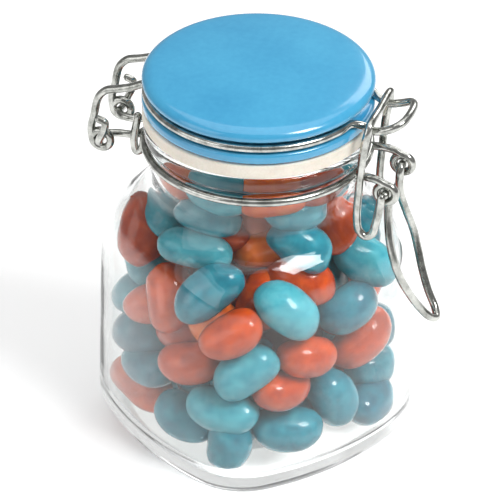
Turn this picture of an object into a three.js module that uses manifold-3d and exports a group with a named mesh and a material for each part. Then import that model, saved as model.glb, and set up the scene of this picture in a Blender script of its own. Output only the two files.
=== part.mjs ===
// A small square clip-top glass jar filled with jelly beans: glass, beans, glazed lid, seal and wire closure.
// Millimetres, +Z up. The origin is the centre of the base, the latch faces -Y and the hinge faces +Y.
import * as THREE from 'three';
import { mergeVertices } from 'three/addons/utils/BufferGeometryUtils.js';
import Module from 'manifold-3d';

const wasm = await Module();
wasm.setup();

// Glass body: a square with bulged faces and round corners, turned a little against the latch
const CORNER_REACH = 35.0;        // axis to the outside of a vertical corner
const CORNER_RADIUS = 15.8;
const CORNER_CENTRE = 13.6;       // corner arc's centre, along each face direction
const FACE_BULGE = 1.9;           // how far a face bows out between its corners
const BODY_TURN = THREE.MathUtils.degToRad(-35.3);
const SHOULDER_LOW = 47.6;
const NECK_LOW = 62.2;
const HEEL_RADIUS = 7.0;
const SHOULDER_INSET = 1.1;       // the sides lean in by this much on the way up
const WALL = 2.3;
const FLOOR_HEIGHT = 4.6;
const NECK_RADIUS = 23.1;
const MOUTH_RADIUS = 20.3;
const BEAD_RADIUS = 24.8;
const BEAD_LOW = 73.7;
const RIM_HEIGHT = 78.1;

// Seal and lid
const PLAY = 0.3;                 // gap between parts that touch
const SEAL_RADIUS = 25.0;
const SEAL_INNER = 19.0;
const SEAL_TOP = 81.8;
const LID_RADIUS = 25.1;
const LID_BOTTOM = 82.1;
const FLANGE_TOP = 84.5;
const GROOVE_RADIUS = 22.8;
const DISC_LOW = 87.4;
const LID_TOP = 91.2;
const SPIGOT_RADIUS = 18.5;
const SPIGOT_BOTTOM = 78.8;

// Wire closure; an "out" is a distance from the jar's axis towards the latch or towards the hinge
const WIRE = 0.9;                 // wire radius
const WIRE_SIDES = 7;
const LID_RING = { radius: 24.2, height: 85.7 };
const NECK_RING = { radius: 24.4, height: 72.2 };
const HINGE = { out: 33.5, height: 69.5 };
const PIVOT = { out: 30.9, height: 69.2 };
const EYE_RADIUS = 2.1;           // centre line of the loops that turn on a pin
const PIN_RADIUS = 0.85;
const ARM_SIDE = 6.6;
const NOSE_SIDE = 5.8;
const HOOP_SIDE = 8.4;
const EAR_SIDE = 6.2;
const BAR_SIDE = 3.4;
const HOOK_SIDE = 9.0;
const STAPLE_SIDE = 5.0;
const LEVER_SIDE = 4.0;
const LEVER_WIDEST = 7.0;

// Jelly beans
const BEAN = { length: 14.2, width: 10.0, depth: 9.4 };
const BEAN_SEED = 11;
const BEAN_GAP = 0.3;             // beans to glass
const ROW_PITCH = 9.9;
const HEAP_TOP = 73.2;

const AROUND = 36;                // facets round the glass and the lid

function material(color, roughness, metalness, extra = {}) {
  return new THREE.MeshStandardMaterial({ color, roughness, metalness, ...extra });
}
const GLASS = material(0xeef4f4, 0.05, 0, { transparent: true, opacity: 0.35 });
const GLAZE = material(0x4fa9d8, 0.2, 0);
const RUBBER = material(0xebe1d2, 0.55, 0);
const CHROME = material(0xc9ccc9, 0.18, 1);
const CANDY = material(0x4f98a8, 0.35, 0);

const group = new THREE.Group();
function add(name, geometry, finish) {
  const mesh = new THREE.Mesh(geometry, finish);
  mesh.name = name;
  group.add(mesh);
}

// A closed geometry with shared corners, no slivers and faces that point out
function closed(geometry) {
  const bare = new THREE.BufferGeometry();
  bare.setAttribute('position', geometry.getAttribute('position').clone());
  bare.setIndex(geometry.index);
  const merged = mergeVertices(bare, 1e-4);
  const index = Array.from(merged.index.array);
  const corners = [];
  for (let i = 0; i < index.length; i += 3) {
    const [a, b, c] = index.slice(i, i + 3);
    if (a !== b && b !== c && c !== a) corners.push([a, b, c]);
  }
  const at = (i) => new THREE.Vector3().fromBufferAttribute(merged.getAttribute('position'), i);
  const volume = corners.reduce((sum, [a, b, c]) => sum + at(a).dot(at(b).cross(at(c))), 0);
  merged.setIndex(corners.flatMap(([a, b, c]) => (volume < 0 ? [a, c, b] : [a, b, c])));
  return merged;
}

function solid(geometry) {
  const shape = closed(geometry);
  const vertProperties = new Float32Array(shape.getAttribute('position').array);
  const triVerts = new Uint32Array(shape.index.array);
  return new wasm.Manifold(new wasm.Mesh({ numProp: 3, vertProperties, triVerts }));
}

function geometryOf(shape) {
  const mesh = shape.getMesh();
  const geometry = new THREE.BufferGeometry();
  geometry.setAttribute('position', new THREE.BufferAttribute(new Float32Array(mesh.vertProperties), 3));
  geometry.setIndex(Array.from(mesh.triVerts));
  return geometry;
}

function fused(geometries) {
  return geometryOf(geometries.map(solid).reduce((whole, piece) => whole.add(piece)));
}

// The largest closed skin alone, so a sealed hollow is filled and a loose scrap is dropped
function outerShell(shape) {
  return shape.decompose().reduce((best, skin) => (skin.volume() > best.volume() ? skin : best));
}

// Radius of the body's outline in a direction, measured from the middle of the nearest face
function outlineReach(angle) {
  const quarter = Math.PI / 2;
  const turned = angle - BODY_TURN;
  const t = Math.abs(turned - quarter * Math.round(turned / quarter));
  const chordRadius = (CORNER_CENTRE ** 2 + FACE_BULGE ** 2) / (2 * FACE_BULGE);
  const faceCentre = CORNER_CENTRE + FACE_BULGE - chordRadius;
  const faceRadius = chordRadius + CORNER_RADIUS;
  const faceEnd = Math.asin(CORNER_CENTRE / chordRadius);
  const meet = Math.atan2(faceRadius * Math.sin(faceEnd), faceCentre + faceRadius * Math.cos(faceEnd));
  if (t <= meet) {
    return faceCentre * Math.cos(t) + Math.sqrt(faceRadius ** 2 - (faceCentre * Math.sin(t)) ** 2);
  }
  const diagonal = CORNER_CENTRE * Math.SQRT2;
  const off = Math.PI / 4 - t;
  return diagonal * Math.cos(off) + Math.sqrt(CORNER_RADIUS ** 2 - (diagonal * Math.sin(off)) ** 2);
}

// 1 where the section is square, 0 where it is round
function squareness(height) {
  return 1 - THREE.MathUtils.smoothstep(height, SHOULDER_LOW, NECK_LOW);
}

function wallScale(angle, height) {
  return 1 + squareness(height) * (outlineReach(angle) / CORNER_REACH - 1);
}

function lathe(profile, segments = AROUND) {
  const geometry = new THREE.LatheGeometry(profile.map(([r, z]) => new THREE.Vector2(r, z)), segments);
  return geometry.rotateX(Math.PI / 2);
}

// A lathe whose body part is pressed from round to the jar's square outline
function squaredLathe(profile, segments = AROUND) {
  const geometry = lathe(profile, segments);
  const position = geometry.getAttribute('position');
  for (let i = 0; i < position.count; i++) {
    const x = position.getX(i);
    const y = position.getY(i);
    const scale = wallScale(Math.atan2(y, x), position.getZ(i));
    position.setXY(i, x * scale, y * scale);
  }
  return geometry;
}

// Points of a quarter arc, from its foot below the centre round to the side
function heel(centreRadius, centreHeight, radius, steps) {
  return Array.from({ length: steps + 1 }, (_, k) => {
    const t = (k / steps) * (Math.PI / 2);
    return [centreRadius + radius * Math.sin(t), centreHeight - radius * Math.cos(t)];
  });
}

// Wall from heel to neck in the corner direction, moved in by the given amount
function wallProfile(inset) {
  const top = CORNER_REACH - SHOULDER_INSET - inset;
  const drop = inset * 0.45;
  return [
    [top, SHOULDER_LOW - drop],
    [top - 1.4, SHOULDER_LOW + 4.2 - drop],
    [top - 4.6, SHOULDER_LOW + 8.0 - drop],
    [top - 8.2, SHOULDER_LOW + 11.0 - drop],
    [NECK_RADIUS - inset, NECK_LOW - drop / 2],
  ];
}

function cavityProfile(inset, top) {
  const reach = CORNER_REACH - WALL - inset;
  const low = FLOOR_HEIGHT + inset;
  const radius = HEEL_RADIUS - WALL;
  return [
    [0, low],
    ...heel(reach - radius, low + radius, radius, 3),
    ...wallProfile(WALL + inset),
    [MOUTH_RADIUS - inset, top],
  ];
}

function glassJar() {
  const outside = [
    [0, 0],
    ...heel(CORNER_REACH - HEEL_RADIUS, HEEL_RADIUS, HEEL_RADIUS, 5),
    ...wallProfile(0),
    [NECK_RADIUS + 0.2, BEAD_LOW - 0.6],
    [BEAD_RADIUS - 0.3, BEAD_LOW + 0.5],
    [BEAD_RADIUS, BEAD_LOW + 2.4],
    [BEAD_RADIUS - 0.2, RIM_HEIGHT - 0.7],
    [BEAD_RADIUS - 0.8, RIM_HEIGHT],
  ];
  const inside = [...cavityProfile(0, RIM_HEIGHT - 0.8)].reverse();
  return squaredLathe([...outside, [MOUTH_RADIUS + 0.8, RIM_HEIGHT], ...inside]);
}

function sealRing() {
  const low = RIM_HEIGHT + PLAY;
  const profile = [
    [SEAL_INNER, low], [SEAL_RADIUS - 0.5, low], [SEAL_RADIUS, low + 0.6],
    [SEAL_RADIUS, SEAL_TOP - 0.6], [SEAL_RADIUS - 0.5, SEAL_TOP], [SEAL_INNER, SEAL_TOP],
  ];
  return lathe([...profile, profile[0]]);
}

function lid() {
  const dome = [0.98, 0.93, 0.8, 0.6, 0.35].map((share) => [
    LID_RADIUS * share,
    DISC_LOW + 1.2 + (LID_TOP - DISC_LOW - 1.2) * (1 - share ** 2.4),
  ]);
  return lathe([
    [0, SPIGOT_BOTTOM], [SPIGOT_RADIUS - 0.6, SPIGOT_BOTTOM], [SPIGOT_RADIUS, SPIGOT_BOTTOM + 0.6],
    [SPIGOT_RADIUS, LID_BOTTOM], [LID_RADIUS - 0.6, LID_BOTTOM], [LID_RADIUS, LID_BOTTOM + 0.6],
    [LID_RADIUS, FLANGE_TOP - 0.5], [LID_RADIUS - 0.6, FLANGE_TOP], [GROOVE_RADIUS, FLANGE_TOP],
    [GROOVE_RADIUS, DISC_LOW - 1.0], [LID_RADIUS - 0.7, DISC_LOW], [LID_RADIUS, DISC_LOW + 0.7],
    ...dome, [0, LID_TOP],
  ]);
}

// Wire along a smooth curve through points written as [side, out, height], towards the latch
function wire(points, steps, front = true, radius = WIRE) {
  const sign = front ? -1 : 1;
  const path = new THREE.CatmullRomCurve3(
    points.map(([side, out, height]) => new THREE.Vector3(side, sign * out, height)), false, 'centripetal');
  const section = new THREE.Shape(Array.from({ length: WIRE_SIDES }, (_, k) => {
    const t = (2 * Math.PI * k) / WIRE_SIDES;
    return new THREE.Vector2(radius * Math.cos(t), radius * Math.sin(t));
  }));
  const options = { steps, extrudePath: path, curveSegments: 1, bevelEnabled: false };
  return new THREE.ExtrudeGeometry(section, options);
}

// The same run of points on the other side, walked back
function mirrored(points) {
  return [...points].reverse().map(([side, out, height]) => [-side, out, height]);
}

function eye(side, out, height) {
  return new THREE.TorusGeometry(EYE_RADIUS, WIRE, WIRE_SIDES, 12)
    .rotateY(Math.PI / 2)
    .translate(side, out, height);
}

function pin(from, to, out, height) {
  return new THREE.CylinderGeometry(PIN_RADIUS, PIN_RADIUS, Math.abs(to - from), WIRE_SIDES)
    .rotateZ(Math.PI / 2)
    .translate((from + to) / 2, out, height);
}

// Points on a level ring round the axis, from one side direction to another
function ringArc(ring, fromSide, toOut, steps) {
  const start = Math.asin(fromSide / ring.radius);
  const end = Math.PI - Math.asin(toOut / ring.radius);
  return Array.from({ length: steps + 1 }, (_, k) => {
    const t = start + ((end - start) * k) / steps;
    return [ring.radius * Math.sin(t), ring.radius * Math.cos(t), ring.height];
  });
}

// Lid wire: a nose in front, a half ring down each side in the lid's groove, and two hinge arms
function lidWire() {
  const half = [
    ...ringArc(LID_RING, NOSE_SIDE + 1.6, ARM_SIDE, 14),
    [ARM_SIDE, -26.4, 84.2], [ARM_SIDE, -29.4, 83.1], [ARM_SIDE, -32.2, 82.2], [ARM_SIDE, -34.1, 80.0],
    [ARM_SIDE, -35.1, 75.4], [ARM_SIDE, -35.8, 72.2], [ARM_SIDE, -HINGE.out - EYE_RADIUS, HINGE.height],
  ];
  const nose = [
    [NOSE_SIDE, 25.4, 84.8], [NOSE_SIDE, 27.6, 84.0], [NOSE_SIDE, 30.3, 84.7], [NOSE_SIDE - 0.6, 32.6, 85.8],
    [NOSE_SIDE - 2.6, 33.8, 86.4],
  ];
  const path = [...mirrored(half), ...mirrored([...nose].reverse()), ...[...nose].reverse(), ...half];
  return fused([
    wire(path, 94),
    ...[-1, 1].map((s) => eye(s * ARM_SIDE, HINGE.out, HINGE.height)),
  ]);
}

// Neck wire: a ring under the bead, two eyes for the lever in front, and hinge pins with hooks behind
function neckWire() {
  const ring = new THREE.TorusGeometry(NECK_RING.radius, WIRE, WIRE_SIDES, 42);
  const pieces = [ring.translate(0, 0, NECK_RING.height)];
  for (const s of [-1, 1]) {
    const ear = [[s * EAR_SIDE, 23.5, 72.2], [s * EAR_SIDE, 26.0, 72.4], [s * EAR_SIDE, 28.6, 72.2],
      [s * EAR_SIDE, PIVOT.out, PIVOT.height + EYE_RADIUS]];
    const bar = [[s * BAR_SIDE, 24.0, 72.2], [s * BAR_SIDE, 26.6, 70.2], [s * BAR_SIDE, 31.6, HINGE.height],
      [s * (BAR_SIDE + 1.3), HINGE.out, HINGE.height], [s * (HOOK_SIDE - 1), HINGE.out, HINGE.height],
      [s * HOOK_SIDE, HINGE.out - 0.5, HINGE.height + 1.6], [s * HOOK_SIDE, 32.0, 73.4],
      [s * HOOK_SIDE, 31.8, 75.4], [s * HOOK_SIDE, 33.2, 76.0]];
    const staple = [[s * STAPLE_SIDE, 25.7, 76.0], [s * STAPLE_SIDE, 26.2, 73.0],
      [s * STAPLE_SIDE, 26.6, 69.4], [s * STAPLE_SIDE, 26.0, 67.0],
      [s * STAPLE_SIDE, 24.8, 67.8], [s * STAPLE_SIDE, 24.2, 71.8]];
    pieces.push(
      wire(ear, 8), eye(s * EAR_SIDE, -PIVOT.out, PIVOT.height),
      wire(bar, 14, false, PIN_RADIUS), wire(staple, 8, false),
    );
  }
  return fused(pieces);
}

// Clamp hoop: a top bar over the nose and a J leg at each side that ends beside the lever's eye
function clampHoop() {
  const leg = [
    [HOOP_SIDE - 1.2, 27.2, 86.1], [HOOP_SIDE, 27.0, 84.6], [HOOP_SIDE, 26.0, 77.6], [HOOP_SIDE, 25.5, 70.4],
    [HOOP_SIDE, 25.2, 63.0], [HOOP_SIDE, 25.7, 60.0], [HOOP_SIDE, 27.2, 58.7], [HOOP_SIDE, 28.7, 59.6],
    [HOOP_SIDE, 29.4, 62.2], [HOOP_SIDE, 30.0, 65.6], [HOOP_SIDE, 30.5, 69.4],
  ];
  return wire([...mirrored(leg), [0, 27.2, 86.1], ...leg], 56);
}

// Lever: two legs that hang from pins in the neck wire's eyes and meet in a narrow finger end
function lever() {
  const leg = [
    [0, 41.4, 35.4], [1.8, 40.6, 36.3], [3.4, 38.4, 39.6], [4.9, 36.5, 43.6], [6.3, 35.0, 47.6],
    [LEVER_WIDEST, 33.6, 52.0], [6.2, 32.1, 57.0], [4.8, 31.2, 61.6], [LEVER_SIDE, 30.9, 65.4],
    [LEVER_SIDE, PIVOT.out, PIVOT.height + 0.3],
  ];
  return fused([
    wire([...mirrored(leg), ...leg.slice(1)], 40),
    ...[-1, 1].map((s) => pin(s * LEVER_SIDE, s * (EAR_SIDE + 0.9), -PIVOT.out, PIVOT.height)),
  ]);
}

function seeded(seed) {
  let state = seed;
  return () => {
    state = (state * 16807) % 2147483647;
    return state / 2147483647;
  };
}

// One bean: an oval with its long side along the wall, leaning by an angle
function bean(angle, reach, height, lean) {
  const turn = new THREE.Matrix4().makeRotationZ(angle)
    .multiply(new THREE.Matrix4().makeRotationX(lean));
  return new THREE.SphereGeometry(0.5, 6, 4)
    .rotateX(Math.PI / 2)
    .scale(BEAN.depth, BEAN.length, BEAN.width)
    .applyMatrix4(turn)
    .translate(reach * Math.cos(angle), reach * Math.sin(angle), height);
}

// The heap: a core that fills the glass, with rows of beans fused on all round and on top
function jellyBeans() {
  const random = seeded(BEAN_SEED);
  const core = squaredLathe([
    [0, FLOOR_HEIGHT + 3.4], [23.0, FLOOR_HEIGHT + 3.4], [27.0, FLOOR_HEIGHT + 7.0],
    [26.6, SHOULDER_LOW - 2.0], [22.0, SHOULDER_LOW + 5.6], [16.0, NECK_LOW - 3.4],
    [15.2, HEAP_TOP - 6.0], [0, HEAP_TOP - 5.0],
  ], AROUND / 2);
  const rows = [];
  for (let height = FLOOR_HEIGHT + BEAN.width / 2 + 0.5; height < SHOULDER_LOW; height += ROW_PITCH) {
    rows.push({ height, reach: CORNER_REACH - WALL - 6.0, count: 10 });
  }
  rows.push(
    { height: SHOULDER_LOW + 4.2, reach: 22.6, count: 8 },
    { height: NECK_LOW - 2.2, reach: 15.2, count: 6 },
    { height: HEAP_TOP - 5.6, reach: 14.2, count: 5 },
    { height: HEAP_TOP - 5.4, reach: 4.8, count: 2 },
  );
  const beans = rows.flatMap(({ height, reach, count }, row) => Array.from({ length: count }, (_, k) => {
    const angle = (2 * Math.PI * (k + (row % 2) / 2 + 0.3 * (random() - 0.5))) / count;
    const lift = 1.6 * (random() - 0.5);
    const lean = Math.PI * (random() - 0.5) * (height > NECK_LOW ? 0.1 : 0.8);
    return bean(angle, reach * wallScale(angle, height), height + lift, lean);
  }));
  const inside = solid(squaredLathe([...cavityProfile(BEAN_GAP, HEAP_TOP), [0, HEAP_TOP]]));
  const heap = [core, ...beans].map(solid).reduce((whole, piece) => whole.add(piece));
  return geometryOf(outerShell(heap.intersect(inside)));
}

add('glass_jar', closed(glassJar()), GLASS);
add('jelly_beans', jellyBeans(), CANDY);
add('seal_ring', closed(sealRing()), RUBBER);
add('lid', closed(lid()), GLAZE);
add('lid_wire', lidWire(), CHROME);
add('neck_ring', neckWire(), CHROME);
add('clamp_hoop', closed(clampHoop()), CHROME);
add('lever', lever(), CHROME);

export default group;
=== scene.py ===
"""A small square clip-top glass jar of jelly beans, dressed for a plain studio picture.

The classes hold their sizes in millimetres and a mesh becomes metres when its object is made. The
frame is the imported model's: origin at the centre of the base, +Z up, the latch towards -Y.
"""

import logging
import math
from dataclasses import dataclass, field
from enum import Enum

import bmesh
import bpy
import numpy as np
from mathutils import Matrix, Vector, noise


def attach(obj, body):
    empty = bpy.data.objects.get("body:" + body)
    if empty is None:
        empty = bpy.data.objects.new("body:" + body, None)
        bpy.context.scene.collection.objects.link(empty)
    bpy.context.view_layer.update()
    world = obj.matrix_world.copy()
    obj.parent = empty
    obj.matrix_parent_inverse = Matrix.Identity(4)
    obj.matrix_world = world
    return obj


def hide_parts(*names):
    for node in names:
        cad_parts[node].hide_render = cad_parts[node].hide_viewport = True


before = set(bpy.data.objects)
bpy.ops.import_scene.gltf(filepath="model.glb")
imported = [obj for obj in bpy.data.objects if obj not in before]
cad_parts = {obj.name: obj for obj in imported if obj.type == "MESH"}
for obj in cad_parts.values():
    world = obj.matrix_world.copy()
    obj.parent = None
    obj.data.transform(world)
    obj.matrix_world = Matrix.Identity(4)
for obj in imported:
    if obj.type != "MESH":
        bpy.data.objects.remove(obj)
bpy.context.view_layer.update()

LOG = logging.getLogger("jelly_bean_jar")
MM = 0.001
FULL_TURN = 2 * math.pi
QUARTER_TURN = math.pi / 2
MERGE = 1e-4  # points closer than this are one, in mm

Point2 = tuple[float, float]
Point3 = tuple[float, float, float]
Colour = tuple[float, float, float, float]


class Body(str, Enum):
    """The moving bodies that pieces ride on."""

    JAR = "jar_body"
    LID = "lid_body"
    LEVER = "lever_body"


class Slot(str, Enum):
    """The finishes that a scene may repaint."""

    GLASS = "clear_glass"
    CANDY = "sugar_shell"
    RUBBER = "seal_rubber"
    GLAZE = "blue_glaze"
    CHROME = "chrome_wire"


class BeanColour(Enum):
    """The two kinds of jelly bean in the jar."""

    TEAL = "teal"
    ORANGE = "orange"


def srgb(red: int, green: int, blue: int) -> Colour:
    """Turns a colour written in 0-255 screen values into the linear one that shaders use.

    Args:
        red: Red, 0 to 255.
        green: Green, 0 to 255.
        blue: Blue, 0 to 255.

    Returns:
        The linear colour with an alpha of 1.
    """
    shares = [c / 255 for c in (red, green, blue)]
    linear = [c / 12.92 if c <= 0.04045 else ((c + 0.055) / 1.055) ** 2.4 for c in shares]
    return (*linear, 1.0)


def smoothstep(value: float, low: float, high: float) -> float:
    """Gives 0 below low, 1 above high and an S-shaped rise between them."""
    share = min(1.0, max(0.0, (value - low) / (high - low)))
    return share * share * (3 - 2 * share)


def smooth_line(points: list[Vector], per_span: int) -> list[Vector]:
    """Runs a centripetal spline through points.

    Args:
        points: The points, in order, in two or three dimensions.
        per_span: How many steps each stretch between two points gets.

    Returns:
        The points of the smooth line, both ends among them.
    """
    ends = [2 * points[0] - points[1], *points, 2 * points[-1] - points[-2]]
    line = []
    for a, b, c, d in zip(ends, ends[1:], ends[2:], ends[3:]):
        knots = [0.0]
        for first, second in ((a, b), (b, c), (c, d)):
            knots.append(knots[-1] + max((second - first).length, MERGE) ** 0.5)
        t0, t1, t2, t3 = knots
        for step in range(per_span):
            t = t1 + (t2 - t1) * step / per_span
            ab = a * ((t1 - t) / (t1 - t0)) + b * ((t - t0) / (t1 - t0))
            bc = b * ((t2 - t) / (t2 - t1)) + c * ((t - t1) / (t2 - t1))
            cd = c * ((t3 - t) / (t3 - t2)) + d * ((t - t2) / (t3 - t2))
            abc = ab * ((t2 - t) / (t2 - t0)) + bc * ((t - t0) / (t2 - t0))
            bcd = bc * ((t3 - t) / (t3 - t1)) + cd * ((t - t1) / (t3 - t1))
            line.append(abc * ((t2 - t) / (t2 - t1)) + bcd * ((t - t1) / (t2 - t1)))
    return [*line, points[-1]]


def arc(centre: Point2, radius: float, start: float, end: float, steps: int) -> list[Point2]:
    """Points of an arc in a turned profile.

    Args:
        centre: Radius and height of the arc's centre.
        radius: Radius of the arc.
        start: First angle in degrees, from the outward direction and upwards.
        end: Last angle in degrees.
        steps: Number of steps.

    Returns:
        Points as (radius, height).
    """
    turns = [math.radians(start + (end - start) * k / steps) for k in range(steps + 1)]
    return [(centre[0] + radius * math.cos(t), centre[1] + radius * math.sin(t)) for t in turns]


class Modeller:
    """A mesh in the making, in millimetres, with the operations that the jar's pieces share."""

    def __init__(self) -> None:
        """Starts with an empty mesh."""
        self.bm = bmesh.new()

    def turn(self, profile: list[Point2], steps: int, closed: bool = False) -> None:
        """Spins a profile once round the Z axis.

        Args:
            profile: Points as (radius, height).
            steps: Facets round the axis.
            closed: Whether the last point joins the first, as in a ring's section.
        """
        points = [self.bm.verts.new((radius, 0, height)) for radius, height in profile]
        pairs = list(zip(points, points[1:])) + ([(points[-1], points[0])] if closed else [])
        lines = [self.bm.edges.new(pair) for pair in pairs]
        bmesh.ops.spin(
            self.bm, geom=points + lines, axis=(0, 0, 1), cent=(0, 0, 0),
            angle=FULL_TURN, steps=steps, use_merge=True,
        )

    def _extend(self, edges: list, move: Matrix) -> list:
        """Extrudes a loop of edges, moves the new loop and returns its edges."""
        made = bmesh.ops.extrude_edge_only(self.bm, edges=edges)["geom"]
        points = {item for item in made if isinstance(item, bmesh.types.BMVert)}
        bmesh.ops.transform(self.bm, matrix=move, verts=list(points))
        return [
            item for item in made
            if isinstance(item, bmesh.types.BMEdge) and set(item.verts) <= points
        ]

    def _round_end(self, edges: list, centre: Vector, outward: Vector, radius: float) -> None:
        """Closes a wire with a rounded end."""
        reached, width = 0.0, 1.0
        for lift in (0.5, 0.85):
            narrowed = math.sqrt(1 - lift * lift)
            grow = Matrix.Scale(narrowed / width, 4)
            at = centre + outward * reached
            onward = centre + outward * radius * lift
            edges = self._extend(edges, Matrix.Translation(onward) @ grow @ Matrix.Translation(-at))
            reached, width = radius * lift, narrowed
        bmesh.ops.edgeloop_fill(self.bm, edges=edges)

    def wire(self, path: list[Vector], radius: float, sides: int = 14) -> None:
        """Sweeps a round wire along a line of points and rounds its ends.

        Args:
            path: The centre line.
            radius: Radius of the wire.
            sides: Facets round the wire.
        """
        steps = [(b - a).normalized() for a, b in zip(path, path[1:])]
        facing = [steps[0], *[(a + b).normalized() for a, b in zip(steps, steps[1:])], steps[-1]]
        upright = facing[0].to_track_quat("Z", "Y").to_matrix().to_4x4()
        circle = bmesh.ops.create_circle(
            self.bm, segments=sides, radius=radius, matrix=Matrix.Translation(path[0]) @ upright)
        first = edges = list({edge for point in circle["verts"] for edge in point.link_edges})
        for here, there, before, after in zip(path, path[1:], facing, facing[1:]):
            turn = before.rotation_difference(after).to_matrix().to_4x4()
            move = Matrix.Translation(there) @ turn @ Matrix.Translation(-here)
            edges = self._extend(edges, move)
        self._round_end(edges, path[-1], facing[-1], radius)
        self._round_end(first, path[0], -facing[0], radius)

    def ring(self, centre: Point3, axis: Point3, ring_radius: float, wire_radius: float,
             steps: int, sides: int = 14) -> None:
        """Adds a closed ring of wire.

        Args:
            centre: Centre of the ring.
            axis: Direction of the ring's axis.
            ring_radius: Radius of the ring's centre line.
            wire_radius: Radius of the wire.
            steps: Facets round the ring.
            sides: Facets round the wire.
        """
        facing = Vector(axis).to_track_quat("Z", "Y").to_matrix().to_4x4()
        aside = Matrix.Translation((ring_radius, 0, 0)) @ Matrix.Rotation(QUARTER_TURN, 4, "X")
        section = Matrix.Translation(centre) @ facing @ aside
        points = bmesh.ops.create_circle(
            self.bm, segments=sides, radius=wire_radius, matrix=section)["verts"]
        edges = list({edge for point in points for edge in point.link_edges})
        bmesh.ops.spin(
            self.bm, geom=points + edges, axis=axis, cent=centre,
            angle=FULL_TURN, steps=steps, use_merge=True,
        )

    def made(self, name: str, finish: bpy.types.Material, body: Body, slot: Slot,
             *nodes: str) -> bpy.types.Object:
        """Turns the mesh into a finished object of the scene.

        Args:
            name: Name of the piece.
            finish: Its material.
            body: The body that it rides on.
            slot: The record's finish; not used.
            *nodes: The solids that it stands for.

        Returns:
            The new object.
        """
        bmesh.ops.remove_doubles(self.bm, verts=self.bm.verts, dist=MERGE)
        bmesh.ops.recalc_face_normals(self.bm, faces=self.bm.faces)
        bmesh.ops.scale(self.bm, vec=(MM, MM, MM), verts=self.bm.verts)
        for face in self.bm.faces:
            face.smooth = True
        mesh = bpy.data.meshes.new(name)
        self.bm.to_mesh(mesh)
        self.bm.free()
        mesh.materials.append(finish)
        made = bpy.data.objects.new(name, mesh)
        bpy.context.scene.collection.objects.link(made)
        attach(made, body.value)
        if nodes:
            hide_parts(*nodes)
        LOG.info("%s: %d faces on %s", name, len(mesh.polygons), body.value)
        return made


@dataclass(frozen=True)
class Signal:
    """A socket of a shader; arithmetic on it adds Math nodes."""

    nodes: "Shader"
    socket: bpy.types.NodeSocket

    def _math(self, operation: str, *values: "Signal | float") -> "Signal":
        """Adds a Math node for an operation on values."""
        return self.nodes.node("ShaderNodeMath", {"operation": operation}, dict(enumerate(values)))

    def __add__(self, other: "Signal | float") -> "Signal":
        """Sum."""
        return self._math("ADD", self, other)

    def __mul__(self, other: "Signal | float") -> "Signal":
        """Product."""
        return self._math("MULTIPLY", self, other)

    __radd__ = __add__
    __rmul__ = __mul__


class Shader:
    """The node tree of one finish, with a Principled surface."""

    def __init__(self, name: str, **constants: float | Colour) -> None:
        """Starts a material.

        Args:
            name: Name of the material.
            **constants: Values of the surface's sockets, with _ for a space.
        """
        self.material = bpy.data.materials.new(name)
        self.material.use_nodes = True
        self.tree = self.material.node_tree
        self.surface = self.tree.nodes["Principled BSDF"]
        for key, value in constants.items():
            self.surface.inputs[key.replace("_", " ")].default_value = value

    def node(self, kind: str, settings: dict | None = None, sockets: dict | None = None,
             output: int | str = 0) -> Signal:
        """Adds a node.

        Args:
            kind: Type of the node.
            settings: Its properties; stops is a ramp's list of (position, colour).
            sockets: Values or signals for its inputs, by name or number.
            output: The output wanted.

        Returns:
            The signal of that output.
        """
        made = self.tree.nodes.new(kind)
        for key, value in (settings or {}).items():
            if key == "stops":
                self._set_stops(made.color_ramp, value)
            else:
                setattr(made, key, value)
        for key, value in (sockets or {}).items():
            if isinstance(value, Signal):
                self.tree.links.new(value.socket, made.inputs[key])
            else:
                made.inputs[key].default_value = value
        return Signal(self, made.outputs[output])

    @staticmethod
    def _set_stops(ramp: bpy.types.ColorRamp, stops: list[tuple[float, Colour]]) -> None:
        """Sets a ramp's stops, from the lowest to the highest."""
        for end, (position, colour) in ((0, stops[0]), (-1, stops[-1])):
            ramp.elements[end].position = position
            ramp.elements[end].color = colour
        for position, colour in stops[1:-1]:
            ramp.elements.new(position).color = colour

    def feed(self, **signals: Signal) -> None:
        """Links signals to the surface's sockets, with _ for a space in a name."""
        for key, value in signals.items():
            self.tree.links.new(value.socket, self.surface.inputs[key.replace("_", " ")])

    def place(self) -> Signal:
        """The place on the piece, in metres from the origin."""
        return self.node("ShaderNodeTexCoord", output="Object")

    def cloud(self, size_mm: float, detail: float = 2.0, roughness: float = 0.5) -> Signal:
        """Soft noise with lumps of a size in millimetres, from 0 to 1."""
        sockets = {
            "Vector": self.place(), "Scale": 1 / (size_mm * MM),
            "Detail": detail, "Roughness": roughness,
        }
        return self.node("ShaderNodeTexNoise", {}, sockets, "Fac")

    def ramp(self, signal: Signal, stops: list[tuple[float, Colour]]) -> Signal:
        """A colour that follows a signal."""
        return self.node("ShaderNodeValToRGB", {"stops": stops}, {"Fac": signal}, "Color")

    def bump(self, height: Signal, strength: float, depth_mm: float) -> None:
        """Gives the surface a low relief."""
        sockets = {"Strength": strength, "Distance": depth_mm * MM, "Height": height}
        self.feed(Normal=self.node("ShaderNodeBump", {}, sockets, "Normal"))


@dataclass(frozen=True)
class ClearGlass:
    """Clear pressed glass with a faint grey-green tint and a slightly wavy surface."""

    tint: Colour = (0.95, 0.965, 0.96, 1.0)
    index: float = 1.45
    gloss: float = 0.02
    wave_mm: float = 9.0

    def material(self) -> bpy.types.Material:
        """Makes the material."""
        shader = Shader(
            "clear_glass", Base_Color=self.tint, Roughness=self.gloss, IOR=self.index,
            Transmission_Weight=1.0, Specular_IOR_Level=0.2,
        )
        shader.bump(shader.cloud(self.wave_mm), 0.1, 0.15)
        return shader.material


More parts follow.
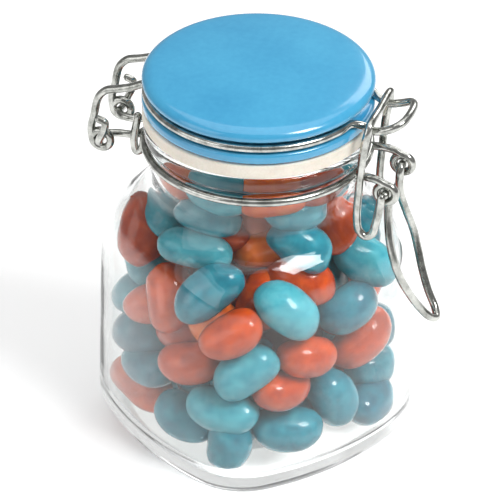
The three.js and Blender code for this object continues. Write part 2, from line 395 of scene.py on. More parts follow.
@dataclass(frozen=True)
class SugarShell:
    """Polished sugar coating over soft candy, mottled and a little translucent."""

    name: str
    pale: Colour
    main: Colour
    deep: Colour
    glow: Point3
    mottle_mm: float = 3.2
    speck_mm: float = 0.7

    def material(self) -> bpy.types.Material:
        """Makes the material, whose shade also follows each bean's own value."""
        shader = Shader(
            self.name, Subsurface_Weight=0.25, Subsurface_Radius=self.glow, Subsurface_Scale=0.002,
            Specular_IOR_Level=0.15, Coat_Roughness=0.03, IOR=1.45,
        )
        mottle = shader.cloud(self.mottle_mm, 3.0)
        specks = shader.cloud(self.speck_mm, 2.0)
        own = shader.node("ShaderNodeAttribute", {"attribute_name": "shade"}, {}, "Fac")
        stops = [(0.3, self.deep), (0.5, self.main), (0.74, self.pale)]
        shader.feed(
            Base_Color=shader.ramp(mottle * 0.5 + specks * 0.12 + own * 0.38, stops),
            Roughness=specks * 0.1 + mottle * 0.1 + 0.14,
            Coat_Weight=specks * 0.5 + 0.6,
        )
        shader.bump(mottle * 0.85 + specks * 0.15, 0.12, 0.15)
        return shader.material


@dataclass(frozen=True)
class BlueGlaze:
    """Glossy blue glaze on the ceramic lid, of slightly uneven depth."""

    main: Colour = srgb(70, 168, 210)
    deep: Colour = srgb(52, 150, 196)
    gloss: float = 0.2

    def material(self) -> bpy.types.Material:
        """Makes the material."""
        shader = Shader("blue_glaze", Coat_Weight=0.8, Coat_Roughness=0.08, IOR=1.5)
        broad = shader.cloud(16.0)
        fine = shader.cloud(1.4, 3.0)
        shader.feed(
            Base_Color=shader.ramp(broad * 0.7 + fine * 0.3, [(0.3, self.deep), (0.7, self.main)]),
            Roughness=broad * 0.06 + self.gloss,
        )
        return shader.material


@dataclass(frozen=True)
class SealRubber:
    """Cream silicone rubber with a fine dull grain."""

    main: Colour = srgb(240, 234, 222)
    shaded: Colour = srgb(226, 216, 200)

    def material(self) -> bpy.types.Material:
        """Makes the material."""
        shader = Shader("seal_rubber", Subsurface_Weight=0.15, Subsurface_Scale=0.001, IOR=1.4)
        grain = shader.cloud(0.5, 3.0)
        broad = shader.cloud(6.0)
        stops = [(0.3, self.shaded), (0.65, self.main)]
        shader.feed(
            Base_Color=shader.ramp(broad * 0.6 + grain * 0.4, stops),
            Roughness=grain * 0.15 + 0.42,
        )
        shader.bump(grain, 0.2, 0.1)
        return shader.material


@dataclass(frozen=True)
class ChromeWire:
    """Bright plated wire with faint draw marks and duller patches."""

    bright: Colour = srgb(204, 205, 200)
    dull: Colour = srgb(118, 120, 114)

    def material(self) -> bpy.types.Material:
        """Makes the material."""
        shader = Shader("chrome_wire", Metallic=1.0)
        patches = shader.cloud(2.6, 3.0)
        marks = shader.cloud(0.35, 2.0)
        stops = [(0.3, self.dull), (0.6, self.bright)]
        shader.feed(
            Base_Color=shader.ramp(patches * 0.7 + marks * 0.3, stops),
            Roughness=patches * 0.12 + marks * 0.06 + 0.06,
        )
        shader.bump(marks, 0.08, 0.05)
        return shader.material


@dataclass
class JarShape:
    """The jar's walls: a square with bulged faces and round corners that becomes a round neck."""

    corner_reach: float = 35.0
    corner_radius: float = 15.8
    corner_centre: float = 13.6
    face_bulge: float = 1.9
    body_turn: float = math.radians(-35.3)
    shoulder_low: float = 47.6
    neck_low: float = 62.2
    heel_radius: float = 7.0
    shoulder_inset: float = 1.1
    wall: float = 2.3
    floor_height: float = 4.6
    neck_radius: float = 23.1
    mouth_radius: float = 20.3
    bead_radius: float = 24.8
    bead_low: float = 73.7
    rim_height: float = 78.1

    def outline_reach(self, angle: float) -> float:
        """Reach of the square outline in a direction, in radians."""
        turned = angle - self.body_turn
        off_face = abs(turned - QUARTER_TURN * round(turned / QUARTER_TURN))
        chord = (self.corner_centre**2 + self.face_bulge**2) / (2 * self.face_bulge)
        centre = self.corner_centre + self.face_bulge - chord
        radius = chord + self.corner_radius
        end = math.asin(self.corner_centre / chord)
        meet = math.atan2(radius * math.sin(end), centre + radius * math.cos(end))
        if off_face > meet:
            centre, radius = self.corner_centre * math.sqrt(2), self.corner_radius
            off_face = math.pi / 4 - off_face
        aside = centre * math.sin(off_face)
        return centre * math.cos(off_face) + math.sqrt(radius**2 - aside**2)

    def wall_scale(self, angle: float, height: float) -> float:
        """Share of the corner direction's radius that the wall has in a direction and height."""
        square = 1 - smoothstep(height, self.shoulder_low, self.neck_low)
        return 1 + square * (self.outline_reach(angle) / self.corner_reach - 1)

    def wall_line(self, inset: float) -> list[Point2]:
        """Wall from heel to neck in the corner direction, moved in by an inset."""
        top = self.corner_reach - self.shoulder_inset - inset
        drop = inset * 0.45
        low = self.shoulder_low - drop
        bends = [
            (self.corner_reach - inset - 0.3, 22.0), (top, low), (top - 1.4, low + 4.2),
            (top - 4.6, low + 8.0), (top - 8.2, low + 11.0),
            (self.neck_radius - inset, self.neck_low - drop / 2),
            (self.neck_radius - inset + 0.05, self.neck_low + 5.0),
        ]
        line = smooth_line([Vector(bend) for bend in bends], 5)
        return [tuple(point) for point in line]

    def outside(self) -> list[Point2]:
        """Profile of the outer face, from the middle of the base to the rim."""
        heel = self.heel_radius
        return [
            (0, 0.5), (14.0, 0.5), (17.0, 0.0),
            *arc((self.corner_reach - heel, heel), heel, -90, 0, 9),
            *self.wall_line(0),
            (self.neck_radius + 0.1, self.bead_low - 1.0),
            (self.neck_radius + 0.7, self.bead_low - 0.2),
            *arc((self.bead_radius - 1.5, self.bead_low + 1.9), 1.5, -60, 0, 4),
            *arc((self.bead_radius - 1.3, self.rim_height - 1.3), 1.3, 0, 90, 6),
        ]

    def inside(self, inset: float = 0.0) -> list[Point2]:
        """Profile of the cavity, from the middle of the floor to the mouth."""
        reach = self.corner_reach - self.wall - inset
        low = self.floor_height + inset
        radius = self.heel_radius - self.wall
        return [
            (0, low), (12.0, low), *arc((reach - radius, low + radius), radius, -90, 0, 8),
            *self.wall_line(self.wall + inset),
            (self.mouth_radius - inset + 0.2, self.rim_height - 4.0),
            (self.mouth_radius - inset, self.rim_height - 1.0),
        ]

    def press_square(self, work: Modeller) -> None:
        """Presses a turned mesh to the square outline below the neck."""
        for point in work.bm.verts:
            scale = self.wall_scale(math.atan2(point.co.y, point.co.x), point.co.z)
            point.co.x *= scale
            point.co.y *= scale

    def build(self, finish: bpy.types.Material) -> None:
        """Makes the glass as one closed wall."""
        work = Modeller()
        mouth, top = self.mouth_radius, self.rim_height
        rim = [(mouth + 1.0, top), (mouth + 0.3, top - 0.3)]
        work.turn([*self.outside(), *rim, *reversed(self.inside())], 128)
        self.press_square(work)
        glass = work.made("glass", finish, Body.JAR, Slot.GLASS, "glass_jar")
        glass.visible_shadow = False


@dataclass
class Closure:
    """Lid, seal and the bent wires that clamp them."""

    wire: float = 0.9
    pin: float = 0.85
    eye: float = 2.1
    ring_steps: int = 96
    seal_radius: float = 25.0
    seal_inner: float = 19.0
    seal_low: float = 78.4
    seal_top: float = 81.8
    lid_radius: float = 25.1
    lid_bottom: float = 82.1
    flange_top: float = 84.5
    groove_radius: float = 22.8
    disc_low: float = 87.4
    lid_top: float = 91.2
    edge_round: Point2 = (3.2, 1.9)  # half width and half height of the lid's rounded edge
    spigot_radius: float = 18.5
    spigot_bottom: float = 78.8
    lid_ring: Point2 = (24.2, 85.7)
    neck_ring: Point2 = (24.4, 72.2)
    hinge: Point2 = (33.5, 69.5)
    pivot: Point2 = (30.9, 69.2)
    arm_side: float = 6.6
    nose_side: float = 5.8
    hoop_side: float = 8.4
    ear_side: float = 6.2
    bar_side: float = 3.4
    hook_side: float = 9.0
    staple_side: float = 5.0
    lever_side: float = 4.0
    lever_widest: float = 7.0

    def build_seal(self, finish: bpy.types.Material) -> None:
        """Makes the seal ring with soft edges and a shallow groove round its outside."""
        work = Modeller()
        low, top, outer = self.seal_low, self.seal_top, self.seal_radius
        middle = (low + top) / 2
        section = [
            (self.seal_inner, low), *arc((outer - 0.6, low + 0.6), 0.6, -90, 0, 4),
            (outer - 0.12, middle - 0.25), (outer - 0.12, middle + 0.25),
            *arc((outer - 0.6, top - 0.6), 0.6, 0, 90, 4), (self.seal_inner, top),
        ]
        work.turn(section, self.ring_steps, closed=True)
        work.made("seal", finish, Body.LID, Slot.RUBBER, "seal_ring")

    def build_lid(self, finish: bpy.types.Material) -> None:
        """Makes the domed lid with its wire groove, flange and plug."""
        work = Modeller()
        groove = self.groove_radius
        wide, high = self.edge_round
        turns = [math.radians(degrees) for degrees in range(-25, 76, 10)]
        edge = [
            (self.lid_radius - wide * (1 - math.cos(t)), self.disc_low + 0.9 + high * math.sin(t))
            for t in turns
        ]
        reach, level = edge[-1]
        dome = [
            (reach * share, self.lid_top - (self.lid_top - level) * share**2.2)
            for share in (0.94, 0.88, 0.8, 0.7, 0.58, 0.45, 0.3, 0.15)
        ]
        work.turn([
            (0, self.spigot_bottom), (self.spigot_radius - 2, self.spigot_bottom),
            *arc((self.spigot_radius - 0.6, self.spigot_bottom + 0.6), 0.6, -90, 0, 3),
            (self.spigot_radius, self.lid_bottom),
            *arc((self.lid_radius - 0.7, self.lid_bottom + 0.7), 0.7, -90, 0, 4),
            *arc((self.lid_radius - 0.7, self.flange_top - 0.7), 0.7, 0, 90, 4),
            (groove + 0.4, self.flange_top), (groove, self.flange_top + 0.5),
            (groove, self.disc_low - 1.3), (groove + 0.5, self.disc_low - 0.8),
            (self.lid_radius - 0.9, self.disc_low - 0.2), *edge, *dome, (0, self.lid_top),
        ], self.ring_steps)
        work.made("ceramic_lid", finish, Body.LID, Slot.GLAZE, "lid")

    @staticmethod
    def path(points: list[Point3], per_span: int = 5, front: bool = True) -> list[Vector]:
        """Smooth line through points written as side, out and height, towards latch or hinge."""
        sign = -1 if front else 1
        return smooth_line([Vector((side, sign * out, up)) for side, out, up in points], per_span)

    @staticmethod
    def mirrored(points: list[Point3]) -> list[Point3]:
        """The same run on the other side, walked back."""
        return [(-side, out, up) for side, out, up in reversed(points)]

    def curl(self, side: float, out: float, up: float, turns: float, start: float) -> list[Point3]:
        """Points of a coil round a pin.

        Args:
            side: Where the coil lies along the pin.
            out: How far out the pin is.
            up: Height of the pin.
            turns: Number of turns; negative winds the other way.
            start: Start angle in degrees, from outwards and upwards.

        Returns:
            Points as side, out and height.
        """
        steps = max(6, round(abs(turns) * 10))
        points = []
        for k in range(steps + 1):
            angle = math.radians(start) + turns * FULL_TURN * k / steps
            away, rise = self.eye * math.cos(angle), self.eye * math.sin(angle)
            points.append((side, out + away, up + rise))
        return points

    def build_lid_wire(self, finish: bpy.types.Material) -> None:
        """Makes the wire in the lid's groove, with its nose in front and two arms behind."""
        work = Modeller()
        radius, height = self.lid_ring
        start = math.asin((self.nose_side + 1.6) / radius)
        end = math.pi - math.asin(self.arm_side / radius)
        turns = [start + (end - start) * k / 20 for k in range(21)]
        out, up, arm = self.hinge[0], self.hinge[1], self.arm_side
        half = [
            *[(radius * math.sin(t), radius * math.cos(t), height) for t in turns],
            (arm, -26.4, 84.2), (arm, -29.4, 83.1), (arm, -32.2, 82.2), (arm, -34.1, 80.0),
            (arm, -35.1, 75.4), (arm, -35.8, 72.2),
            *[(side, -at, high) for side, at, high in self.curl(arm, out, up, -0.95, 0)],
        ]
        side = self.nose_side
        nose = [
            (side, 25.4, 84.8), (side, 27.6, 84.0), (side, 30.3, 84.7),
            (side - 0.6, 32.6, 85.8), (side - 2.6, 33.8, 86.4),
        ]
        across = [*self.mirrored(nose[::-1]), *nose[::-1]]
        work.wire(self.path([*self.mirrored(half), *across, *half]), self.wire)
        work.made("lid_bail", finish, Body.LID, Slot.CHROME, "lid_wire")

    def build_neck_wire(self, finish: bpy.types.Material) -> None:
        """Makes the ring under the bead with the lever's eyes, the hinge pins and the staples."""
        work = Modeller()
        radius, height = self.neck_ring
        work.ring((0, 0, height), (0, 0, 1), radius, self.wire, self.ring_steps)
        out, up = self.hinge
        for s in (-1, 1):
            sides = (self.ear_side, self.bar_side, self.hook_side, self.staple_side)
            ear, bar, hook, staple = (s * side for side in sides)
            turn = self.curl(ear, *self.pivot, -0.97, 90)
            work.wire(self.path([
                (ear, 23.5, 72.2), (ear, 26.0, 72.4), (ear, 28.6, 72.2), *turn,
            ]), self.wire)
            work.wire(self.path([
                (bar, 24.0, 72.2), (bar, 26.6, 70.2), (bar, 31.6, up), (bar + s * 1.3, out, up),
                (hook - s, out, up), (hook, out - 0.5, up + 1.6), (hook, 32.0, 73.4),
                (hook, 31.8, 75.4), (hook, 33.2, 76.0),
            ], front=False), self.pin)
            work.wire(self.path([
                (staple, 25.7, 76.0), (staple, 26.2, 73.0), (staple, 26.6, 69.4),
                (staple, 26.0, 67.0), (staple, 24.8, 67.8), (staple, 24.2, 71.8),
            ], front=False), self.wire)
        work.made("neck_wire", finish, Body.JAR, Slot.CHROME, "neck_ring")

    def build_hoop(self, finish: bpy.types.Material) -> None:
        """Makes the hoop that hangs over the nose and holds the latch."""
        work = Modeller()
        side = self.hoop_side
        leg = [
            (side - 1.2, 27.2, 86.1), (side, 27.0, 84.6), (side, 26.0, 77.6), (side, 25.5, 70.4),
            (side, 25.2, 63.0), (side, 25.7, 60.0), (side, 27.2, 58.7), (side, 28.7, 59.6),
            (side, 29.4, 62.2), (side, 30.0, 65.6), (side, 30.5, 69.4),
        ]
        work.wire(self.path([*self.mirrored(leg), (0, 27.2, 86.1), *leg]), self.wire)
        work.made("latch_hoop", finish, Body.LID, Slot.CHROME, "clamp_hoop")

    def build_lever(self, finish: bpy.types.Material) -> None:
        """Makes the finger lever, one bent wire whose ends turn outwards into the eyes."""
        work = Modeller()
        side = self.lever_side
        out, up = self.pivot
        leg = [
            (0, 41.4, 35.4), (1.8, 40.6, 36.3), (3.4, 38.4, 39.6), (4.9, 36.5, 43.6),
            (6.3, 35.0, 47.6), (self.lever_widest, 33.6, 52.0), (6.2, 32.1, 57.0),
            (4.8, 31.2, 61.6), (side, 30.9, 65.4), (side, out, up - 1.0), (side + 0.7, out, up),
            (self.ear_side + 0.9, out, up),
        ]
        work.wire(self.path([*self.mirrored(leg), *leg[1:]]), self.wire)
        work.made("finger_lever", finish, Body.LEVER, Slot.CHROME, "lever")

    def build(self, glaze: bpy.types.Material, rubber: bpy.types.Material,
              chrome: bpy.types.Material) -> None:
        """Makes every piece of the closure."""
        self.build_lid(glaze)
        self.build_seal(rubber)
        self.build_lid_wire(chrome)
        self.build_neck_wire(chrome)
        self.build_hoop(chrome)
        self.build_lever(chrome)


@dataclass(frozen=True)
class Bean:
    """One jelly bean: its colour, place and the direction of its long side."""

    colour: BeanColour
    place: Vector
    along: Vector
    belly: Vector
    length: float
    width: float


T, O = BeanColour.TEAL, BeanColour.ORANGE
# The beans that lie against the glass towards the camera: colour, degrees round the axis, height,
# depth behind the glass, tilt of the long side from level, its lean outwards, length and width.
FRONT_BEANS = [
    (T, 173, 46.8, 0.0, 43, -40, 16.4, 10.3), (T, -145, 43.4, 0.0, -38, 34, 15.4, 10.5),
    (O, -173, 39.4, 0.0, 33, -19, 14.2, 9.6), (T, -166, 29.6, 0.0, 35, -24, 14.9, 10.5),
    (T, -177, 18.7, 0.0, -11, -7, 15.6, 10.1), (T, -174, 9.4, 0.0, 89, 5, 14.2, 9.9),
    (T, -145, 12.8, 0.0, -4, 20, 15.8, 10.8), (T, -117, 16.8, 0.0, -75, 25, 14.2, 10.8),
    (T, -90, 9.3, 0.0, 9, 3, 14.2, 10.1), (T, -77, 14.9, 0.5, -11, 49, 14.2, 9.4),
    (O, -96, 28.0, 0.0, 39, 35, 16.4, 9.9), (O, -135, 30.8, 0.5, -12, -1, 14.2, 9.4),
    (O, -149, 24.1, 0.5, -11, -32, 14.2, 9.4), (T, -106, 38.4, 0.5, 30, 34, 14.5, 10.8),
    (T, -91, 46.5, 0.0, -54, 64, 14.2, 9.6), (T, -129, 54.7, 0.0, -49, 46, 15.4, 10.8),
    (O, -92, 54.8, 0.5, 56, -7, 14.9, 9.4), (T, -130, 64.1, 1.0, -9, 17, 14.2, 9.4),
    (T, 155, 60.3, 0.0, -5, -41, 14.5, 9.4), (T, 106, 53.1, 1.5, -25, 6, 14.2, 9.4),
    (T, 154, 52.8, 0.5, -3, -42, 16.4, 9.4), (O, 108, 48.9, 0.0, -56, -8, 15.4, 10.5),
    (O, 142, 39.3, 1.5, -58, 13, 14.9, 10.5), (O, 163, 27.7, 0.5, 14, -32, 14.2, 10.1),
    (T, 117, 24.3, 0.0, -17, -78, 14.5, 10.8), (T, 128, 19.3, 0.5, 8, -29, 14.2, 9.4),
    (O, 117, 9.3, 0.0, -49, -43, 16.2, 10.1), (T, 160, 12.4, 0.5, -22, -23, 14.5, 10.5),
    (T, 104, 41.9, 2.5, -56, -3, 14.5, 10.8), (T, 104, 30.4, 2.0, 28, 64, 14.2, 10.5),
    (O, -165, 55.5, 7.5, -70, 20, 14.9, 10.8), (O, -130, 45.9, 6.0, -10, 37, 14.9, 10.1),
    (O, 144, 30.5, 6.0, 16, -35, 14.2, 9.6), (O, -76, 34.9, 4.0, 12, 18, 14.2, 9.4),
    (O, 159, 53.0, 6.0, 33, -26, 14.2, 9.6), (T, -68, 50.2, 1.0, -88, 1, 14.2, 9.4),
    (O, -157, 41.1, 9.0, 62, -6, 14.2, 10.1), (O, -150, 68.6, 0.5, 4, 0, 14.8, 10.0),
    (T, 168, 68.4, 0.5, -6, 0, 14.6, 10.0), (O, -112, 68.2, 1.0, 10, 0, 14.4, 9.8),
    (O, -154, 52.0, 9.5, 15, 0, 14.8, 10.2),
]


@dataclass
class Cavity:
    """Tables of the jar's inside, for testing many points at once."""

    jar: JarShape
    heights: np.ndarray = field(init=False)
    radius: np.ndarray = field(init=False)
    slope: np.ndarray = field(init=False)
    face: np.ndarray = field(init=False)
    turns: np.ndarray = field(init=False)
    outline: np.ndarray = field(init=False)

    def __post_init__(self) -> None:
        """Fills the tables from the jar's shape."""
        line = [point for point in self.jar.inside() if point[0] > self.jar.mouth_radius / 2]
        self.heights = np.arange(self.jar.floor_height, self.jar.rim_height, 0.5)
        self.radius = np.interp(self.heights, [z for _, z in line], [r for r, _ in line])
        self.slope = np.sqrt(1 + np.gradient(self.radius, self.heights) ** 2).clip(1, 1.5)
        self.face = np.array([self.jar.wall_scale(self.jar.body_turn, z) for z in self.heights])
        self.turns = np.linspace(-math.pi, math.pi, 361)
        self.outline = np.array([self.jar.outline_reach(t) for t in self.turns])

    def reach(self, angle: np.ndarray, level: np.ndarray, clear: np.ndarray) -> np.ndarray:
        """Most radius that the centre of a ball can have.

        Args:
            angle: Directions round the axis, in radians.
            level: Heights.
            clear: The balls' radii.

        Returns:
            The radii.
        """
        wide = np.interp(level, self.heights, self.radius)
        rise = (level - self.jar.shoulder_low) / (self.jar.neck_low - self.jar.shoulder_low)
        rise = np.clip(rise, 0, 1)
        square = 1 - rise * rise * (3 - 2 * rise)
        pressed = np.interp(angle, self.turns, self.outline) / self.jar.corner_reach
        wall = wide * (1 + square * (pressed - 1))
        across = wide * np.interp(level, self.heights, self.face)
        return wall * (1 - clear * np.interp(level, self.heights, self.slope) / across)


@dataclass
class Heap:
    """The jelly beans that fill the jar, settled against each other and the glass."""

    jar: JarShape
    seed: int = 7
    count: int = 120
    length: float = 14.6
    width: float = 10.0
    top: float = 74.0
    rounds: int = 240
    firmness: float = 0.05  # how much a placed bean gives way
    bean_push: float = 0.3  # share of an overlap that a round takes out
    wall_push: float = 0.9
    home_pull: float = 0.15
    aim_pull: float = 0.3
    sink: float = 0.03
    nestle: float = 0.15  # how far two beans may sink into each other's girth
    wall_gap: float = 0.35
    teal_share: float = 0.64
    around: int = 24
    along_steps: int = 16
    # How far the painted-shade core keeps inside the glass.
    shade_core_inset: float = 17.0
    lumps: float = 0.22
    camera_side: float = math.radians(-162)
    retreat: float = 4.5  # how far the loose beans keep behind the placed ones

    def front(self, cavity: Cavity) -> list[Bean]:
        """The beans that lie against the glass towards the camera."""
        beans = []
        for colour, around, level, depth, tilt, lean, length, width in FRONT_BEANS:
            turn, tip, tuck = (math.radians(value) for value in (around, tilt, lean))
            out = float(cavity.reach(turn, level, width / 2 + depth))
            outward = Vector((math.cos(turn), math.sin(turn), 0))
            level_side = Vector((-outward.y, outward.x, 0))
            flat = level_side * math.cos(tip) + Vector((0, 0, math.sin(tip)))
            along = flat * math.cos(tuck) + outward * math.sin(tuck)
            place = outward * out + Vector((0, 0, level))
            beans.append(Bean(colour, place, along, outward, length, width))
        return beans

    def settle(self) -> list[Bean]:
        """Lets the beans push each other apart inside the glass until they rest.

        Returns:
            The beans in their places.
        """
        rng = np.random.default_rng(self.seed)
        cavity = Cavity(self.jar)
        front = self.front(cavity)
        loose = self.count - len(front)
        levels = rng.uniform(self.jar.floor_height + 5, self.top - 5, loose)
        angles = rng.uniform(-math.pi, math.pi, loose)
        far = np.sqrt(rng.uniform(0, 1, loose)) * cavity.reach(angles, levels, self.width / 2)
        lengths = np.array([bean.length for bean in front] + list(
            self.length * rng.uniform(0.95, 1.08, loose)))
        widths = np.array([bean.width for bean in front] + list(
            self.width * rng.uniform(0.94, 1.06, loose)))
        spots = np.array([bean.place[:] for bean in front] + list(
            zip(far * np.cos(angles), far * np.sin(angles), levels)))
        aims = np.array([bean.along[:] for bean in front] + list(rng.normal(size=(loose, 3))))
        aims /= np.linalg.norm(aims, axis=1)[:, None]
        home, home_aims = spots[: len(front)].copy(), aims[: len(front)].copy()
        ease = np.where(np.arange(self.count) < len(front), self.firmness, 1.0)[:, None]
        share = np.array([-1.0, 0.0, 1.0])
        arm = ((lengths - widths) / 2)[:, None] * share
        girth = np.repeat(widths / 2 - self.nestle, len(share))
        skin = girth + self.lumps + self.wall_gap
        hold = np.repeat(ease, len(share), axis=0)
        owner = np.repeat(np.arange(self.count), len(share))
        other = owner[:, None] != owner[None, :]
        room = girth[:, None] + girth[None, :]
        tuck = np.repeat(np.arange(self.count) >= len(front), len(share)) * self.retreat
        for _ in range(self.rounds):
            balls = (spots[:, None] + arm[:, :, None] * aims[:, None]).reshape(-1, 3)
            gap = balls[:, None] - balls[None]
            distance = np.sqrt((gap**2).sum(2)) + MERGE
            push = np.where(other, (room - distance).clip(0), 0) / distance
            move = (gap * push[:, :, None]).sum(1) * self.bean_push * hold
            out = np.hypot(balls[:, 0], balls[:, 1]) + MERGE
            angle = np.arctan2(balls[:, 1], balls[:, 0])
            facing = (np.cos(angle - self.camera_side) * 2 - 0.4).clip(0, 1)
            clear = skin + tuck * facing
            excess = (out - cavity.reach(angle, balls[:, 2], clear)).clip(0) * self.wall_push
            move[:, :2] -= (excess / out)[:, None] * balls[:, :2]
            move[:, 2] += (self.jar.floor_height + skin - balls[:, 2]).clip(0) * self.wall_push
            move[:, 2] -= (balls[:, 2] - self.top + skin).clip(0) * self.wall_push
            move = move.reshape(self.count, -1, 3)
            twist = np.cross(arm[:, :, None] * aims[:, None], move).sum(1)
            spots += move.mean(1) - np.array([0, 0, self.sink]) * ease
            aims += np.cross(twist / (2 * arm[:, -1:] ** 2), aims)
            aims /= np.linalg.norm(aims, axis=1)[:, None]
            spots[: len(front)] += (home - spots[: len(front)]) * self.home_pull
            aims[: len(front)] += (home_aims - aims[: len(front)]) * self.aim_pull
        LOG.info("heap: %d beans up to %.1f mm, deepest overlap %.1f mm",
                 self.count, (spots[:, 2] + widths / 2).max(), float((push * distance).max()))
        kinds = [bean.colour for bean in front] + [
            BeanColour.TEAL if draw < self.teal_share else BeanColour.ORANGE
            for draw in rng.uniform(size=loose)]
        bellies = rng.normal(size=(self.count, 3))
        rows = zip(kinds, spots, aims, bellies, lengths, widths)
        return [
            Bean(kind, Vector(spot), Vector(aim), Vector(belly), length, width)
            for kind, spot, aim, belly, length, width in rows
        ]

    def bean_mesh(self, bean: Bean, tone: float) -> bpy.types.Mesh:
        """Models one bean: full ends, a curved back and a slightly lumpy shell.

        Args:
            bean: The bean.
            tone: Its tone, 0 to 1.

        Returns:
            Its mesh, in place.
        """
        single = bmesh.new()
        shade = single.verts.layers.float.new("shade")
        bmesh.ops.create_uvsphere(
            single, u_segments=self.around, v_segments=self.along_steps, radius=1.0)
        x_axis = bean.along.normalized()
        z_axis = (bean.belly - x_axis * bean.belly.dot(x_axis)).normalized()
        turn = Matrix((z_axis.cross(x_axis), z_axis, x_axis)).transposed()
        half, girth = bean.length / 2, bean.width / 2
        for point in single.verts:
            side, back, end = point.co
            spread = math.hypot(side, back)
            if spread > MERGE:
                full = (1 - abs(end) ** 2.5) ** (1 / 2.1) / spread
                side, back = side * full, back * full
            back += 0.09 * (1 - 2.4 * end * end)
            place = turn @ Vector((side * girth, back * girth * 0.96, end * half))
            place += place.normalized() * self.lumps * noise.noise(place * 0.2 + bean.place)
            point.co = place + bean.place
            point[shade] = tone
        mesh = bpy.data.meshes.new("bean")
        single.to_mesh(mesh)
        single.free()
        return mesh

    def build(self, finishes: dict[BeanColour, bpy.types.Material],
              shade_core: bpy.types.Material) -> None:
        """Makes each colour's beans as one piece, over a core in the middle painted dark as the
        shade deep between them.
        """
        tones = np.random.default_rng(self.seed + 1)
        works = {colour: Modeller() for colour in finishes}
        for bean in self.settle():
            mesh = self.bean_mesh(bean, tones.uniform())
            works[bean.colour].bm.from_mesh(mesh)
            bpy.data.meshes.remove(mesh)
        for colour, work in works.items():
            name = f"beans_{colour.value}"
            work.made(name, finishes[colour], Body.JAR, Slot.CANDY, "jelly_beans")
        self.build_painted_shade_core(shade_core)

    def build_painted_shade_core(self, finish: bpy.types.Material) -> None:
        """Makes the core in the middle of the heap, painted dark as the shade deep between the
        beans.
        """
        work = Modeller()
        wide = self.jar.corner_reach - self.jar.wall - self.shade_core_inset
        low = self.jar.floor_height + 6.0
        work.turn([
            (0, low), (wide - 4, low), (wide, low + 4), (wide, 44.0), (wide - 7, 54.0), (0, 60.0),
        ], 48)
        work.made("heap_painted_shade_core", finish, Body.JAR, Slot.CANDY)


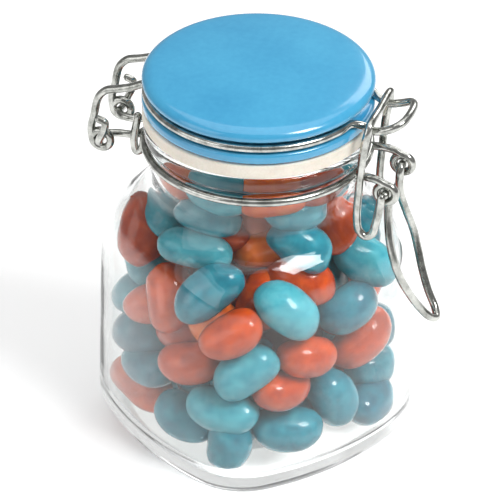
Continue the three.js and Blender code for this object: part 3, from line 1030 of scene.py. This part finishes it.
@dataclass
class Studio:
    """Floor with a painted, glowing pool of light round the jar, soft lights and the camera."""

    azimuth: float = -72.0
    elevation: float = 34.16
    distance: float = 1.0
    aim_height: float = 0.04423
    focal_px: float = 4563.9
    frame_px: float = 500.0
    sensor: float = 36.0
    nudges: Point3 = (0.08, -0.03, 0.78)
    world_light: float = 0.3
    floor_half: float = 4.0
    floor_glow: float = 0.24
    floor_painted_pool: Colour = (0.93, 0.93, 0.93, 1.0)
    floor_painted_grey: Colour = (0.34, 0.34, 0.34, 1.0)
    painted_pool_reach: float = 0.2  # metres from the jar at which the painted pool of light starts to fade to painted grey
    painted_grey_reach: float = 0.8

    def axes(self) -> list[Vector]:
        """The camera's right, up and back directions before the small corrections."""
        a, e = math.radians(self.azimuth), math.radians(self.elevation)
        back = Vector((math.sin(a) * math.cos(e), -math.cos(a) * math.cos(e), math.sin(e)))
        right = Vector((math.cos(a), math.sin(a), 0))
        return [right, back.cross(right), back]

    def build_camera(self) -> None:
        """Puts the camera at the picture's angle."""
        axes = self.axes()
        back = axes[2].copy()
        for about, degrees in zip((1, 0, 2), self.nudges):
            turn = Matrix.Rotation(math.radians(degrees), 3, axes[about])
            axes = [turn @ axis for axis in axes]
        data = bpy.data.cameras.new("camera")
        data.sensor_width = self.sensor
        data.lens = self.focal_px * self.sensor / self.frame_px
        camera = bpy.data.objects.new("camera", data)
        bpy.context.scene.collection.objects.link(camera)
        stand = Matrix(axes).transposed().to_4x4()
        stand.translation = back * self.distance + Vector((0, 0, self.aim_height))
        camera.matrix_world = stand
        bpy.context.scene.camera = camera

    def add_softbox(self, name: str, right: float, up: float, back: float, size: float,
                    power: float) -> None:
        """Adds a soft lamp, placed as seen from the camera and aimed at the jar.

        Args:
            name: Name of the lamp.
            right: Metres to the camera's right of the jar.
            up: Metres above it.
            back: Metres towards the camera.
            size: Width of the lamp in metres.
            power: Its power in watts.
        """
        data = bpy.data.lights.new(name, "AREA")
        data.size = size
        data.energy = power
        lamp = bpy.data.objects.new(name, data)
        bpy.context.scene.collection.objects.link(lamp)
        a = math.radians(self.azimuth)
        place = (Vector((math.cos(a), math.sin(a), 0)) * right + Vector((0, 0, up))
                 + Vector((math.sin(a), -math.cos(a), 0)) * back)
        aim = Vector((0, 0, self.aim_height)) - place
        facing = aim.to_track_quat("-Z", "Y").to_matrix().to_4x4()
        lamp.matrix_world = Matrix.Translation(place) @ facing

    def build_floor(self) -> None:
        """Makes the floor, painted pale and glowing as a pool of light round the jar and grey
        further out, which the glass and wire reflect.
        """
        work = bmesh.new()
        bmesh.ops.create_grid(work, x_segments=1, y_segments=1, size=self.floor_half)
        mesh = bpy.data.meshes.new("floor")
        work.to_mesh(mesh)
        work.free()
        shader = Shader("floor", Roughness=0.7, Emission_Strength=self.floor_glow)
        length = {"operation": "LENGTH"}
        away = shader.node("ShaderNodeVectorMath", length, {0: shader.place()}, "Value")
        # Painted light: the floor's colour and glow fade with distance from the jar, a pool of
        # light round it and darker grey beyond.
        stops = [(self.painted_pool_reach, self.floor_painted_pool), (self.painted_grey_reach, self.floor_painted_grey)]
        shade = shader.ramp(away, stops)
        shader.feed(Base_Color=shade, Emission_Color=shade)
        mesh.materials.append(shader.material)
        floor = bpy.data.objects.new("floor", mesh)
        bpy.context.scene.collection.objects.link(floor)

    def build(self) -> None:
        """Makes the whole studio."""
        self.build_camera()
        self.build_floor()
        self.add_softbox("overhead", 0.0, 1.1, -0.1, 1.2, 5.0)
        self.add_softbox("key", 0.62, 0.95, 0.42, 0.4, 9.5)
        self.add_softbox("rim", 0.55, 0.75, -1.0, 0.6, 3.0)
        self.add_softbox("fill", -0.9, 0.45, 0.6, 0.8, 2.6)
        world = bpy.data.worlds.new("studio")
        world.use_nodes = True
        background = world.node_tree.nodes["Background"]
        background.inputs["Color"].default_value = (1, 1, 1, 1)
        background.inputs["Strength"].default_value = self.world_light
        bpy.context.scene.world = world
        bpy.context.scene.view_settings.view_transform = "Standard"


TEAL = SugarShell(
    "teal_shell", srgb(76, 162, 174), srgb(32, 126, 142), srgb(10, 88, 108), (0.4, 1.0, 1.1))
ORANGE = SugarShell(
    "orange_shell", srgb(220, 112, 38), srgb(198, 74, 6), srgb(154, 48, 2), (1.4, 0.6, 0.2))
# Painted shade: the heap core's darker orange-brown stands for the shadow deep between the beans.
HEAP_PAINTED_SHADE = SugarShell(
    "heap_painted_shade", srgb(150, 62, 24), srgb(118, 42, 14), srgb(84, 26, 10), (1.0, 0.5, 0.3))


def main() -> None:
    """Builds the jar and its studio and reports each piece."""
    logging.basicConfig(level=logging.INFO, format="%(message)s")
    studio = Studio()
    studio.build()
    jar = JarShape()
    jar.build(ClearGlass().material())
    Closure().build(BlueGlaze().material(), SealRubber().material(), ChromeWire().material())
    finishes = {BeanColour.TEAL: TEAL.material(), BeanColour.ORANGE: ORANGE.material()}
    Heap(jar).build(finishes, HEAP_PAINTED_SHADE.material())
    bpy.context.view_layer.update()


if __name__ == "__main__":
    main()
